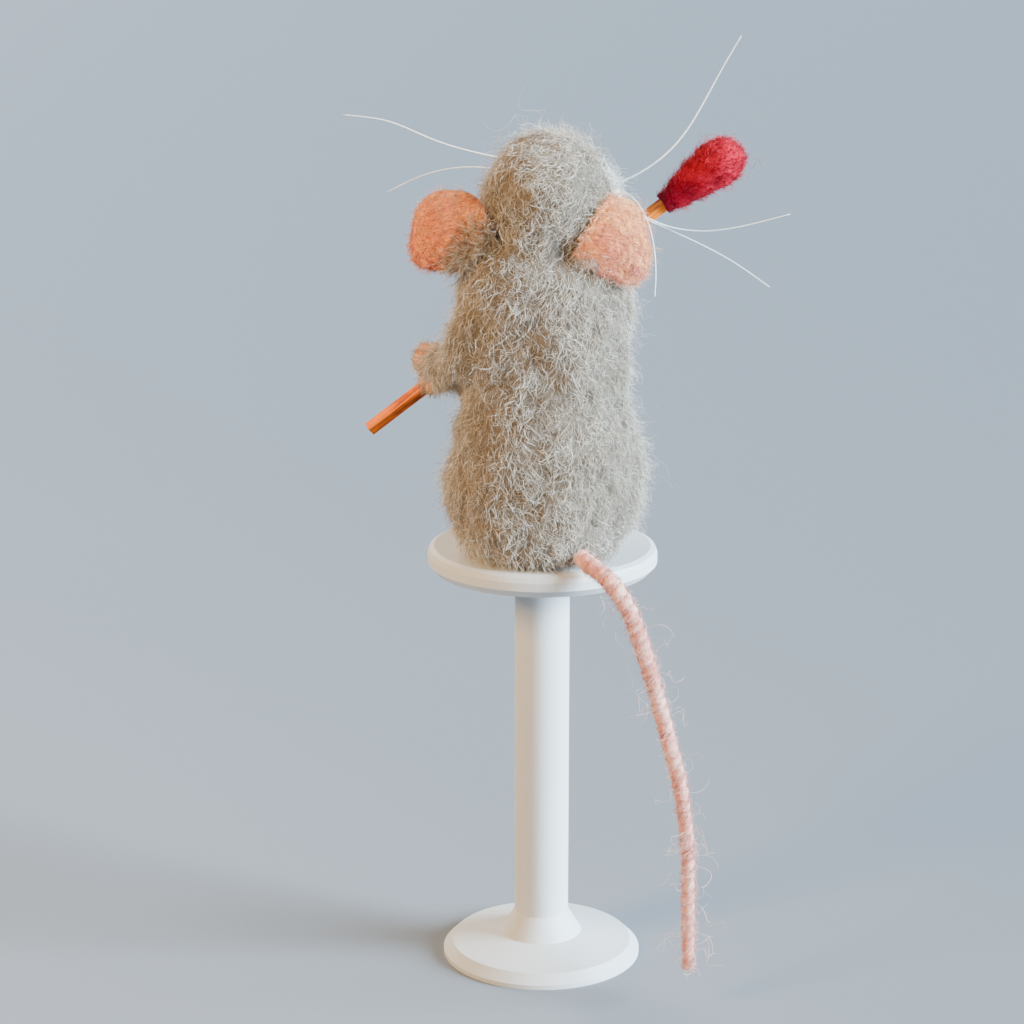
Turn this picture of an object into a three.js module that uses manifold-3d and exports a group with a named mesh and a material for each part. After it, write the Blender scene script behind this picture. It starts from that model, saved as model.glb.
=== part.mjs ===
// A needle-felted wool mouse that sits upright on a ledge, holds a long match across its chest and lets
// its wire-cored tail hang over the edge. Millimetres, +Z up. The mouse faces -Y, and its right is -X.
// The origin is the middle of the flat seat under the torso.
import * as THREE from "three";
import { mergeVertices } from "three/addons/utils/BufferGeometryUtils.js";
import Module from "manifold-3d";

const wasm = await Module();
wasm.setup();

// Clearance between pieces that touch on the real mouse.
const GAP = 0.3;

// Facets around and down a ball, for large, middling and small ones.
const LARGE = [26, 16];
const MIDDLING = [18, 10];
const SMALL = [12, 7];

// Torso: each row is height, half width, front reach, back reach and sideways shift.
const TORSO_ROWS = [
  [0, 14.5, 15, 14.5, 1.5],
  [1.5, 16.8, 17.6, 16.4, 1.2],
  [6, 18.8, 20.2, 17.8, 0.8],
  [15, 20, 21.6, 18.4, 0.2],
  [25, 19.8, 20.8, 17.6, 0],
  [34, 18, 18.8, 16.6, 0.1],
  [44, 18.6, 17.8, 15.8, 0.2],
  [53, 18.9, 16.6, 15, 0.2],
  [60, 18.4, 15.4, 14.2, 0.2],
  [65, 16.6, 13.6, 12.2, 0.2],
  [68, 11.4, 10, 8.8, 0.2],
];
const HAUNCH = { centre: [13.2, -3.5, 15], radii: [9, 15, 13.6] };
const BELLY = { centre: [0, -14.5, 26], radii: [12.5, 8.4, 19] };

// Head, with the muzzle turned to the mouse's right.
const HEAD = { centre: [-0.6, -3, 74], radii: [14.6, 16, 17] };
const MUZZLE_TURN = 30;
const MUZZLE_RISE = 4;
const MUZZLE_PROFILE = [
  [0, 6],
  [7.6, 6],
  [8.8, 10],
  [8.6, 14],
  [7.5, 18],
  [5.8, 22],
  [4.1, 25],
  [2.3, 26.5],
  [0, 27],
];
const CHEEK = { along: 12.5, aside: 5.6, up: 0.8, radius: 4.9 };
const NOSE = { along: 27.2, up: 0.6, radius: 2.1 };
const EYE = { along: 0.95, aside: 0.37, up: 0.44, out: 15.1, radius: 1.9 };

// Ears: domed petals, each with its own place, facing and root on the side of the head.
const EAR_THICKNESS = 3;
const EAR_CUP = 2.6;
const EAR_SQUARENESS = 2.5;
const EAR_RIGHT = {
  centre: [-13.8, 9.4, 69.2],
  facing: [-0.34, 0.93, 0.1],
  half: [9, 9.8],
  root: { centre: [-7, 9, 70], radii: [3.4, 2.4, 6.4] },
};
const EAR_LEFT = {
  centre: [21, 3, 70.7],
  facing: [0.4, 0.88, 0.2],
  half: [9.2, 8.8],
  root: { centre: [13, 4, 70.8], radii: [3.8, 2.8, 5.6] },
};

// Match: a square stick from its butt end up to the crimson head.
const MATCH_BUTT = new THREE.Vector3(38.5, -22, 22.1);
const MATCH_AIM = new THREE.Vector3(-80.6, 0, 62.7).normalize();
const STICK_SIDE = 2.4;
const STICK_CORNER = 0.2;
const STICK_ROLL = 0.62;
const STICK_LENGTH = 92;
const STICK_HOLE_SIDE = STICK_SIDE + 0.5;
const MATCH_HEAD_START = 81;
const MATCH_HEAD_PROFILE = [
  [0, 0],
  [2.1, 0],
  [2.9, 2.2],
  [3.8, 5.5],
  [4.7, 9.5],
  [5.3, 13.2],
  [5.35, 16],
  [4.6, 18.6],
  [2.9, 20.4],
  [0, 21.2],
];

// Arms: the middle line from shoulder to wrist, the thickness along it, and where on the stick the paw is.
const ARM_LEFT_LINE = [
  [12.5, 4, 55],
  [15.4, 4.4, 47],
  [18, 0, 40.6],
  [20.6, -8, 39],
  [22.6, -14.5, 39],
];
const ARM_RIGHT_LINE = [
  [-11.5, -5, 54],
  [-14.4, -10.5, 49],
  [-13.8, -15.6, 47.4],
  [-11.8, -18.6, 50],
  [-9.6, -19.6, 53.6],
];
const ARM_RADII = [
  [0, 0],
  [4.6, 0.01],
  [5.9, 0.14],
  [5.9, 0.4],
  [5.3, 0.7],
  [4.4, 0.93],
  [2.8, 0.99],
  [0, 1],
];
const ARM_LEFT_THICKNESS = 1;
const ARM_RIGHT_THICKNESS = 0.8;
const ARM_WIRE_RADIUS = 0.6;
const ARM_WIRE_SPAN = [0.03, 0.84];
const ARM_CHANNEL_END = 0.86;
const PAW_LEFT = { on_stick: 18, back: [25, -18.8, 38.6] };
const PAW_RIGHT = { on_stick: 58.5, back: [-8.4, -19.6, 56] };
const PAW_RADIUS = 3.9;
const GRIP_RADIUS = 3.5;

// Feet, flat underneath, with three toes each.
const FOOT = { centre: [10.6, -21, 2.5], radii: [4.2, 8.4, 3], turn: 8 };
const TOE_RADIUS = 1.7;
const TOE_SPREAD = [-2.5, 0, 2.5];

// Tail: the middle line from inside the torso to the tip, and its three joints as shares of the line.
const TAIL_LINE = [
  [-6.4, 12.6, 3.6],
  [-8.4, 16.6, 2.8],
  [-11.6, 21, 1.4],
  [-14.3, 23.4, -0.9],
  [-16.5, 24, -4.4],
  [-18.3, 24, -8.4],
  [-20.2, 24, -14.2],
  [-22, 24, -20.2],
  [-24, 24, -27.4],
  [-26.1, 24, -35.4],
  [-27.8, 24, -42],
  [-28.9, 24, -47.6],
  [-29.6, 24, -53],
  [-30.2, 24, -59.2],
  [-30.4, 24, -65.8],
  [-30.5, 24, -72.4],
  [-30.6, 24, -79],
  [-30.7, 24, -86.4],
];
const TAIL_RADIUS_ROOT = 1.95;
const TAIL_RADIUS_TIP = 1.3;
const TAIL_JOINTS = [0.045, 0.16, 0.56];
const TAIL_WIRE_RADIUS = 0.45;
const TAIL_SOCKET_MOUTH = 1.1;
const TAIL_SOCKET_DEPTH = 2.5;
const TAIL_SOCKET_REACH = 7;
const TAIL_TIP = 0.995;
const TAIL_CHANNEL_SPARE = 0.03;
const TAIL_WIRE_INSET = 0.02;
const TAIL_WIRE_END = 0.012;
const TAIL_ANCHOR = new THREE.Vector3(-2.2, 2.6, 7.6);
const ANCHOR_WIRE_SPAN = [0.06, 0.96];

// Whiskers: each one's middle line from the muzzle to its tip.
const WHISKER_RADIUS = 0.22;
const WHISKERS = {
  whisker_left_upper: [
    [-8.5, -18.5, 79.4],
    [2, -20, 81],
    [10, -21, 82.2],
    [21.3, -23, 84.7],
    [29.6, -24.5, 88],
    [34, -25.5, 89.8],
    [43.8, -27.5, 90.6],
  ],
  whisker_left_lower: [
    [-8, -20, 77],
    [3, -21.5, 78.6],
    [12.4, -22.6, 79.8],
    [17.6, -23.4, 79.9],
    [23.8, -24.4, 78.8],
    [29, -25.2, 76.8],
    [34.2, -26, 74],
  ],
  whisker_right_rising: [
    [-13.4, -17.4, 76.6],
    [-17.8, -17, 78.2],
    [-24.4, -16.4, 82.4],
    [-29.6, -16, 88],
    [-33.8, -15.4, 95.4],
    [-37.4, -14.8, 102.4],
    [-41, -14, 108.8],
  ],
  whisker_right_drooping: [
    [-12.6, -18.4, 75.4],
    [-16.2, -15, 76.2],
    [-19, -11, 74.6],
    [-21.4, -8.4, 71],
    [-22.8, -6.6, 66],
    [-23.3, -5.4, 60.2],
    [-23.1, -5, 54.8],
  ],
  whisker_right_level: [
    [-13, -19.4, 74.8],
    [-18, -18.6, 71.6],
    [-21.6, -18.2, 69.8],
    [-26.6, -18, 67.6],
    [-34, -17.6, 66.8],
    [-41.4, -17, 67.8],
    [-52.4, -16, 70.8],
  ],
  whisker_right_falling: [
    [-12.6, -20.6, 73.4],
    [-17, -19.2, 71.4],
    [-21.6, -18.9, 69.2],
    [-30, -18, 65.6],
    [-39.8, -16.8, 60.8],
    [-48.4, -15.6, 55],
  ],
};

const WOOL = { color: 0x9c8f80, roughness: 0.95, metalness: 0 };
const PALE_WOOL = { color: 0xe8e2d8, roughness: 0.95, metalness: 0 };
const PEACH_WOOL = { color: 0xe8a07c, roughness: 0.92, metalness: 0 };
const PINK_WOOL = { color: 0xd9a29a, roughness: 0.92, metalness: 0 };
const CRIMSON_WOOL = { color: 0xb3122c, roughness: 0.9, metalness: 0 };
const STAINED_WOOD = { color: 0xc96a1e, roughness: 0.55, metalness: 0 };
const THREAD = { color: 0xf2f2ee, roughness: 0.35, metalness: 0 };
const BEAD = { color: 0x0b0a0a, roughness: 0.12, metalness: 0 };
const STEEL = { color: 0x8f9296, roughness: 0.35, metalness: 1 };

const mouse = new THREE.Group();
mouse.name = "felted_mouse";

// A closed three.js geometry as a solid. Seams are merged and faces without area are dropped.
function solid(geometry) {
  const bare = new THREE.BufferGeometry();
  bare.setAttribute("position", geometry.getAttribute("position").clone());
  if (geometry.index) bare.setIndex(geometry.index.clone());
  const merged = mergeVertices(bare, 1e-4);
  const index = merged.index.array;
  const faces = [];
  for (let i = 0; i < index.length; i += 3) {
    const [a, b, c] = index.slice(i, i + 3);
    if (a !== b && b !== c && c !== a) faces.push(a, b, c);
  }
  const mesh = new wasm.Mesh({
    numProp: 3,
    vertProperties: merged.getAttribute("position").array,
    triVerts: new Uint32Array(faces),
  });
  return new wasm.Manifold(mesh);
}

function add(name, shape, look) {
  const made = shape.getMesh();
  const geometry = new THREE.BufferGeometry();
  geometry.setAttribute("position", new THREE.BufferAttribute(made.vertProperties, 3));
  geometry.setIndex(new THREE.BufferAttribute(made.triVerts, 1));
  const flat = geometry.toNonIndexed();
  flat.computeVertexNormals();
  const mesh = new THREE.Mesh(flat, new THREE.MeshStandardMaterial(look));
  mesh.name = name;
  mouse.add(mesh);
}

function ball(centre, radii, grow = 0, facets = MIDDLING) {
  const geometry = new THREE.SphereGeometry(1, ...facets);
  geometry.rotateX(Math.PI / 2);
  geometry.scale(radii[0] + grow, radii[1] + grow, radii[2] + grow);
  geometry.translate(...centre);
  return solid(geometry);
}

function flipped(point) {
  return [-point[0], point[1], point[2]];
}

function curveThrough(points) {
  const corners = points.map((p) => new THREE.Vector3(...p));
  return new THREE.CatmullRomCurve3(corners, false, "centripetal");
}

// A lathed bar bent along a curve. The profile holds a radius and a share of the curve's length per ring.
function bentBar(profile, curve, sides) {
  const fine = 200;
  const frames = curve.computeFrenetFrames(fine, false);
  const geometry = new THREE.LatheGeometry(
    profile.map(([radius, share]) => new THREE.Vector2(radius, share)),
    sides,
  );
  const place = geometry.getAttribute("position");
  for (let i = 0; i < place.count; i += 1) {
    const share = place.getY(i);
    const step = Math.round(THREE.MathUtils.clamp(share, 0, 1) * fine);
    const point = curve.getPointAt(THREE.MathUtils.clamp(share, 0, 1));
    point.addScaledVector(frames.normals[step], place.getX(i));
    point.addScaledVector(frames.binormals[step], -place.getZ(i));
    place.setXYZ(i, point.x, point.y, point.z);
  }
  return solid(geometry);
}

// A lathed shape that stands on a point and leans along a direction. Its profile is radius and height.
function turned(profile, start, aim, grow = 0, sides = 20) {
  const geometry = new THREE.LatheGeometry(
    profile.map(([radius, height]) => new THREE.Vector2(radius > 0 ? radius + grow : 0, height)),
    sides,
  );
  const lean = new THREE.Quaternion().setFromUnitVectors(new THREE.Vector3(0, 1, 0), aim);
  geometry.applyQuaternion(lean);
  geometry.translate(start.x, start.y, start.z);
  return solid(geometry);
}

// The torso: a lathed drum whose rings are stretched to the rows above.
function torso(grow = 0) {
  const levels = TORSO_ROWS.map((row) => new THREE.Vector2(1, row[0]));
  const top = levels[levels.length - 1].y + 1.5 + grow;
  const profile = [new THREE.Vector2(0, 0), ...levels, new THREE.Vector2(0, top)];
  const geometry = new THREE.LatheGeometry(profile, 30);
  const place = geometry.getAttribute("position");
  for (let i = 0; i < place.count; i += 1) {
    const height = place.getY(i);
    const row = TORSO_ROWS.find((r) => Math.abs(r[0] - height) < 1e-6) ?? TORSO_ROWS.at(-1);
    const depth = (place.getZ(i) < 0 ? row[2] : row[3]) + grow;
    const width = row[1] + grow;
    place.setXYZ(i, place.getX(i) * width + row[4], place.getZ(i) * depth, height);
  }
  // Standing the drum up turned its faces round, so the winding is reversed.
  const index = geometry.index.array;
  for (let i = 0; i < index.length; i += 3) {
    [index[i + 1], index[i + 2]] = [index[i + 2], index[i + 1]];
  }
  return solid(geometry);
}

// The directions of the face: along the muzzle, to its side and up.
const turn = THREE.MathUtils.degToRad(MUZZLE_TURN);
const rise = THREE.MathUtils.degToRad(MUZZLE_RISE);
const face = {
  along: new THREE.Vector3(
    -Math.sin(turn) * Math.cos(rise),
    -Math.cos(turn) * Math.cos(rise),
    Math.sin(rise),
  ),
  aside: new THREE.Vector3(Math.cos(turn), -Math.sin(turn), 0),
};
face.up = new THREE.Vector3().crossVectors(face.aside, face.along).negate();
if (face.up.z < 0) face.up.negate();
const headCentre = new THREE.Vector3(...HEAD.centre);

function onFace(along, aside, up) {
  return headCentre
    .clone()
    .addScaledVector(face.along, along)
    .addScaledVector(face.aside, aside)
    .addScaledVector(face.up, up);
}

function bead(point, radius, grow = 0) {
  return ball(point.toArray(), [radius, radius, radius], grow, SMALL);
}

function eyePoint(side) {
  const way = new THREE.Vector3()
    .addScaledVector(face.along, EYE.along)
    .addScaledVector(face.aside, EYE.aside * side)
    .addScaledVector(face.up, EYE.up)
    .normalize();
  return headCentre.clone().addScaledVector(way, EYE.out);
}

// An ear: a flattened ball squared off to a petal, then cupped forwards, joined to its root.
function ear(spec) {
  const geometry = new THREE.SphereGeometry(1, 24, 12);
  const place = geometry.getAttribute("position");
  for (let i = 0; i < place.count; i += 1) {
    const [x, y, z] = [place.getX(i), place.getY(i), place.getZ(i)];
    const length = Math.hypot(x, y);
    const square =
      (Math.abs(x) ** EAR_SQUARENESS + Math.abs(y) ** EAR_SQUARENESS) ** (1 / EAR_SQUARENESS);
    const push = length > 1e-6 ? length / square : 1;
    const across = x * push;
    const along = y * push;
    const bend = EAR_CUP * (across * across + along * along);
    place.setXYZ(
      i,
      across * spec.half[0],
      along * spec.half[1],
      (z * EAR_THICKNESS) / 2 - bend,
    );
  }
  const facing = new THREE.Vector3(...spec.facing).normalize();
  const side = new THREE.Vector3().crossVectors(new THREE.Vector3(0, 0, 1), facing).normalize();
  const upward = new THREE.Vector3().crossVectors(facing, side);
  geometry.applyMatrix4(new THREE.Matrix4().makeBasis(side, upward, facing));
  geometry.translate(...spec.centre);
  return solid(geometry).add(ball(spec.root.centre, spec.root.radii, 0, SMALL));
}

// A square bar along the match, rolled about its own line.
function squareBar(side, corner, from, to) {
  const half = side / 2;
  const outline = new THREE.Shape();
  const inner = half - corner;
  outline.moveTo(-inner, -half);
  outline.lineTo(inner, -half);
  outline.lineTo(half, -inner);
  outline.lineTo(half, inner);
  outline.lineTo(inner, half);
  outline.lineTo(-inner, half);
  outline.lineTo(-half, inner);
  outline.lineTo(-half, -inner);
  outline.closePath();
  const geometry = new THREE.ExtrudeGeometry(outline, {
    depth: to - from,
    bevelEnabled: false,
    steps: 1,
  });
  geometry.rotateZ(STICK_ROLL);
  const lean = new THREE.Quaternion().setFromUnitVectors(new THREE.Vector3(0, 0, 1), MATCH_AIM);
  geometry.applyQuaternion(lean);
  const start = MATCH_BUTT.clone().addScaledVector(MATCH_AIM, from);
  geometry.translate(start.x, start.y, start.z);
  return solid(geometry);
}

function onStick(distance) {
  return MATCH_BUTT.clone().addScaledVector(MATCH_AIM, distance);
}

// A paw: the back of the hand joined to a grip that closes round the stick.
function paw(spec, grow = 0) {
  const back = ball(spec.back, [PAW_RADIUS, PAW_RADIUS, PAW_RADIUS], grow, SMALL);
  const grip = bead(onStick(spec.on_stick), GRIP_RADIUS, grow);
  return back.add(grip);
}

// The channel for an arm's wire, open at the shoulder.
function armChannel(curve) {
  const start = curve.getPointAt(0.02);
  const outside = start.clone().addScaledVector(curve.getTangentAt(0), -2 * ARM_RADII[1][0]);
  const way = wire(new THREE.LineCurve3(outside, start), ARM_WIRE_RADIUS + GAP, 0, 1, 1);
  return wire(curve, ARM_WIRE_RADIUS + GAP, 0, ARM_CHANNEL_END).add(way);
}

// A wire along a curve between two shares of its length.
function wire(curve, radius, from, to, rings = 12) {
  const profile = [[0, from]];
  for (let i = 0; i <= rings; i += 1) profile.push([radius, from + ((to - from) * i) / rings]);
  profile.push([0, to]);
  return bentBar(profile, curve, 6);
}

function arm(curve, thickness, grow = 0) {
  const rings = ARM_RADII.map(([radius, share]) => [
    radius > 0 ? radius * thickness + grow : 0,
    share,
  ]);
  const shoulder = bead(curve.getPointAt(0), ARM_RADII[1][0] * thickness, grow);
  return bentBar(rings, curve, 16).add(shoulder);
}

function foot(side) {
  const geometry = new THREE.SphereGeometry(1, ...MIDDLING);
  geometry.rotateX(Math.PI / 2);
  geometry.scale(...FOOT.radii);
  geometry.rotateZ(THREE.MathUtils.degToRad(FOOT.turn * side));
  geometry.translate(FOOT.centre[0] * side, FOOT.centre[1], FOOT.centre[2]);
  let shape = solid(geometry);
  for (const aside of TOE_SPREAD) {
    const reach = FOOT.centre[1] - FOOT.radii[1] + 0.9 + Math.abs(aside) * 0.3;
    const toe = [FOOT.centre[0] * side + aside + 1.1 * side, reach, TOE_RADIUS];
    shape = shape.add(ball(toe, [TOE_RADIUS, 2.6, TOE_RADIUS], 0, SMALL));
  }
  const ground = new THREE.BoxGeometry(40, 60, 10);
  ground.translate(FOOT.centre[0] * side, FOOT.centre[1], -5);
  return shape.subtract(solid(ground));
}

// One length of the tail: wool between two shares of the line. Its start is hollowed to sit on the
// rounded end of the length before it, and the wire's channel runs right through.
const tailCurve = curveThrough(TAIL_LINE);

function tailRadius(share) {
  return THREE.MathUtils.lerp(TAIL_RADIUS_ROOT, TAIL_RADIUS_TIP, share);
}

function tailBar(from, to, radiusAt, rings, sides) {
  const profile = [[0, from]];
  for (let i = 0; i <= rings; i += 1) {
    const share = from + ((to - from) * i) / rings;
    profile.push([radiusAt(share), share]);
  }
  profile.push([0, to]);
  return bentBar(profile, tailCurve, sides);
}

function tailJoint(share) {
  return tailCurve.getPointAt(share);
}

function tailWool(from, to, rings) {
  const start = from === 0 ? TAIL_JOINTS[0] : from;
  let shape = tailBar(start, to, tailRadius, rings, 12);
  shape = shape.add(bead(tailJoint(to === 1 ? TAIL_TIP : to), tailRadius(to)));
  if (from === 0) shape = shape.add(bead(tailJoint(start), tailRadius(start)));
  else shape = shape.subtract(bead(tailJoint(from), tailRadius(from), GAP));
  const channel = () => TAIL_WIRE_RADIUS + GAP;
  const opening = Math.max(start - TAIL_CHANNEL_SPARE, 0);
  const ending = Math.min(to + TAIL_CHANNEL_SPARE, 1);
  return shape.subtract(tailBar(opening, ending, channel, rings, 6));
}

function tailWire(from, to, rings) {
  return tailBar(from, to, () => TAIL_WIRE_RADIUS, rings, 6);
}

// Solids, grown by the gap where a neighbour is cut back from them.
const match = squareBar(STICK_SIDE, STICK_CORNER, 0, STICK_LENGTH);
const matchHole = squareBar(STICK_HOLE_SIDE, STICK_CORNER, -5, STICK_LENGTH + 10);
const headBlindHole = squareBar(STICK_HOLE_SIDE, STICK_CORNER, -5, STICK_LENGTH + GAP);
const headHole = ball(HEAD.centre, HEAD.radii, GAP, LARGE);
const muzzle = turned(MUZZLE_PROFILE, headCentre, face.along);
const muzzleHole = turned(MUZZLE_PROFILE, headCentre, face.along, GAP);
const cheekPoint = (side) => onFace(CHEEK.along, CHEEK.aside * side, CHEEK.up);
const cheekHoles = bead(cheekPoint(1), CHEEK.radius, GAP).add(bead(cheekPoint(-1), CHEEK.radius, GAP));
const nosePoint = onFace(NOSE.along, 0, NOSE.up);
const eyeHoles = bead(eyePoint(1), EYE.radius, GAP).add(bead(eyePoint(-1), EYE.radius, GAP));
const armLeftCurve = curveThrough(ARM_LEFT_LINE);
const armRightCurve = curveThrough(ARM_RIGHT_LINE);
const armHoles = arm(armLeftCurve, ARM_LEFT_THICKNESS, GAP).add(
  arm(armRightCurve, ARM_RIGHT_THICKNESS, GAP),
);
const pawHoles = paw(PAW_LEFT, GAP).add(paw(PAW_RIGHT, GAP));
const haunchHoles = ball(HAUNCH.centre, HAUNCH.radii, GAP).add(
  ball(flipped(HAUNCH.centre), HAUNCH.radii, GAP),
);

let whiskerHoles;
const whiskerSolids = {};
for (const [name, points] of Object.entries(WHISKERS)) {
  const curve = curveThrough(points);
  const rings = 14;
  const profile = [[0, 0]];
  const wide = [[0, 0]];
  for (let i = 0; i <= rings; i += 1) {
    const share = i / rings;
    profile.push([WHISKER_RADIUS * (1 - 0.45 * share), share]);
    wide.push([WHISKER_RADIUS + GAP, share]);
  }
  profile.push([0, 1]);
  wide.push([0, 1]);
  whiskerSolids[name] = bentBar(profile, curve, 5);
  const hole = bentBar(wide, curve, 5);
  whiskerHoles = whiskerHoles ? whiskerHoles.add(hole) : hole;
}

// The tail's root ball sits in a socket that opens into a cone behind the torso.
const tailRootPoint = tailJoint(TAIL_JOINTS[0]);
const tailAim = tailCurve.getTangentAt(TAIL_JOINTS[0]);
const mouthProfile = [
  [0, 0],
  [TAIL_RADIUS_ROOT + GAP, 0],
  [TAIL_RADIUS_ROOT + TAIL_SOCKET_MOUTH + GAP, TAIL_SOCKET_DEPTH],
  [TAIL_RADIUS_ROOT + 3 * TAIL_SOCKET_MOUTH, TAIL_SOCKET_REACH],
  [0, TAIL_SOCKET_REACH],
];
const tailMouth = turned(mouthProfile, tailRootPoint, tailAim).add(
  bead(tailRootPoint, TAIL_RADIUS_ROOT, GAP),
);
const anchorWire = new THREE.LineCurve3(
  TAIL_ANCHOR,
  tailRootPoint.clone().addScaledVector(tailAim, -TAIL_RADIUS_ROOT + 0.6),
);
const anchorChannel = wire(anchorWire, TAIL_WIRE_RADIUS + GAP, 0, 1);

const bellyHole = ball(BELLY.centre, BELLY.radii, GAP);
add(
  "torso",
  torso()
    .subtract(headHole)
    .subtract(haunchHoles)
    .subtract(bellyHole)
    .subtract(armHoles)
    .subtract(tailMouth)
    .subtract(anchorChannel),
  WOOL,
);
add(
  "belly_patch",
  ball(BELLY.centre, BELLY.radii)
    .intersect(torso())
    .subtract(haunchHoles)
    .subtract(armHoles)
    .subtract(pawHoles),
  PALE_WOOL,
);
for (const [name, side] of [
  ["left", 1],
  ["right", -1],
]) {
  const centre = side > 0 ? HAUNCH.centre : flipped(HAUNCH.centre);
  const footShape = foot(side);
  add(
    `haunch_${name}`,
    ball(centre, HAUNCH.radii).subtract(
      ball([FOOT.centre[0] * side, FOOT.centre[1], FOOT.centre[2]], FOOT.radii, 2 * GAP),
    ),
    WOOL,
  );
  add(
    `foot_${name}`,
    footShape.subtract(ball(centre, HAUNCH.radii, GAP)).subtract(torso()),
    PEACH_WOOL,
  );
}

add(
  "head",
  ball(HEAD.centre, HEAD.radii, 0, LARGE)
    .subtract(muzzleHole)
    .subtract(cheekHoles)
    .subtract(eyeHoles)
    .subtract(armHoles)
    .subtract(whiskerHoles),
  WOOL,
);
add(
  "muzzle",
  muzzle
    .subtract(cheekHoles)
    .subtract(bead(nosePoint, NOSE.radius, GAP))
    .subtract(whiskerHoles)
    .subtract(eyeHoles),
  PALE_WOOL,
);
add("nose", bead(nosePoint, NOSE.radius), PEACH_WOOL);
for (const [name, side] of [
  ["left", 1],
  ["right", -1],
]) {
  add(
    `cheek_${name}`,
    bead(cheekPoint(side), CHEEK.radius).subtract(whiskerHoles).subtract(eyeHoles),
    PALE_WOOL,
  );
  add(`eye_${name}`, bead(eyePoint(side), EYE.radius), BEAD);
}
add("ear_left", ear(EAR_LEFT).subtract(headHole).subtract(torso(GAP)), PEACH_WOOL);
add("ear_right", ear(EAR_RIGHT).subtract(headHole).subtract(torso(GAP)), PEACH_WOOL);

for (const [name, curve, thickness, pawSpec] of [
  ["left", armLeftCurve, ARM_LEFT_THICKNESS, PAW_LEFT],
  ["right", armRightCurve, ARM_RIGHT_THICKNESS, PAW_RIGHT],
]) {
  add(
    `arm_${name}`,
    arm(curve, thickness)
      .subtract(paw(pawSpec, GAP))
      .subtract(headHole)
      .subtract(matchHole)
      .subtract(armChannel(curve)),
    WOOL,
  );
  add(`arm_wire_${name}`, wire(curve, ARM_WIRE_RADIUS, ...ARM_WIRE_SPAN), STEEL);
  add(`paw_${name}`, paw(pawSpec).subtract(matchHole), PEACH_WOOL);
}

add("match_stick", match, STAINED_WOOD);
add(
  "match_head",
  turned(MATCH_HEAD_PROFILE, onStick(MATCH_HEAD_START), MATCH_AIM).subtract(headBlindHole),
  CRIMSON_WOOL,
);

const tailLengths = [
  ["root", 0, TAIL_JOINTS[1], 6],
  ["upper", TAIL_JOINTS[1], TAIL_JOINTS[2], 14],
  ["lower", TAIL_JOINTS[2], 1, 14],
];
for (const [name, from, to, rings] of tailLengths) {
  add(`tail_${name}`, tailWool(from, to, rings), PINK_WOOL);
  const start = (from === 0 ? TAIL_JOINTS[0] : from) + TAIL_WIRE_INSET;
  add(`tail_wire_${name}`, tailWire(start, to - TAIL_WIRE_END, rings), STEEL);
}
add("tail_wire_anchor", wire(anchorWire, TAIL_WIRE_RADIUS, ...ANCHOR_WIRE_SPAN), STEEL);

for (const [name, shape] of Object.entries(whiskerSolids)) {
  add(name, shape, THREAD);
}

export default mouse;
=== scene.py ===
# %% [markdown]
# # A needle-felted mouse that carries a long match
# The mouse is made of loose sheep's wool, poked with a barbed needle until it mats into firm shapes.
# The CAD model gives the shapes and the joints. Here each shape gets what a hand would feel on the real
# one: a matted skin, and thousands of fine curled fibres standing out of it.

# %% Load the frame
import math

import bmesh
import bpy
import numpy as np
from mathutils import Matrix, Vector


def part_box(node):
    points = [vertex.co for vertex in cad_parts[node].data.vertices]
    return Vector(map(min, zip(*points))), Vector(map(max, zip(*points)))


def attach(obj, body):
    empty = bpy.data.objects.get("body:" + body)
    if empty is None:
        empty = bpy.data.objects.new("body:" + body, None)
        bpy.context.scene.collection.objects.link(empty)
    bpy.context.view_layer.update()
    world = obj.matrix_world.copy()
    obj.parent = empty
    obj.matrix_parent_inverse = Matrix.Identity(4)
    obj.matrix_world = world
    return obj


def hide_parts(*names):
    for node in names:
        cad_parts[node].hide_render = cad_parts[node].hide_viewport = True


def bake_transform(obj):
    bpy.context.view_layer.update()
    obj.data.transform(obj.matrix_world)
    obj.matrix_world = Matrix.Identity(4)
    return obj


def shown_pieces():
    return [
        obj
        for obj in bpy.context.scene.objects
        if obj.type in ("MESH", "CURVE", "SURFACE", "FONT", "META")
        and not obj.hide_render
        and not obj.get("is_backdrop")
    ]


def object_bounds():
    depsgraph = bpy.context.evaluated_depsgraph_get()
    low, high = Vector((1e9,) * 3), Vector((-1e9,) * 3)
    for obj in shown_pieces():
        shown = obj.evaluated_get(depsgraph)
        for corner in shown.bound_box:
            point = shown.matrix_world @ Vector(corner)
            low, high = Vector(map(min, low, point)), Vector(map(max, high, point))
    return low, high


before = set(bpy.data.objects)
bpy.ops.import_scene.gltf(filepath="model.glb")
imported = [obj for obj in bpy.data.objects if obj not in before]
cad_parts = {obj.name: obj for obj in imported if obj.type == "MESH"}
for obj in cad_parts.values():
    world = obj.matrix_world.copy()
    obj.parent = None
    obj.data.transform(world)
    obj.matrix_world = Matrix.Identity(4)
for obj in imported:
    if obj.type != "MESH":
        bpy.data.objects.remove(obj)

MM = 0.001
cad_low, cad_high = (list(corner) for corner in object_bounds())
print("CAD box", [round(value, 4) for value in cad_low + cad_high])

# %% [markdown]
# ## The camera
# The mouse is seen from behind and a little above, from about arm's length, through a long lens. A long
# lens keeps the far parts nearly as large as the near ones, which is how small things are usually shown.

# %% Place the camera
CAMERA_TARGET = Vector((7.1, -2.3, 8.5)) * MM
CAMERA_DISTANCE = 600 * MM
CAMERA_RISE = math.radians(15.2)

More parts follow.
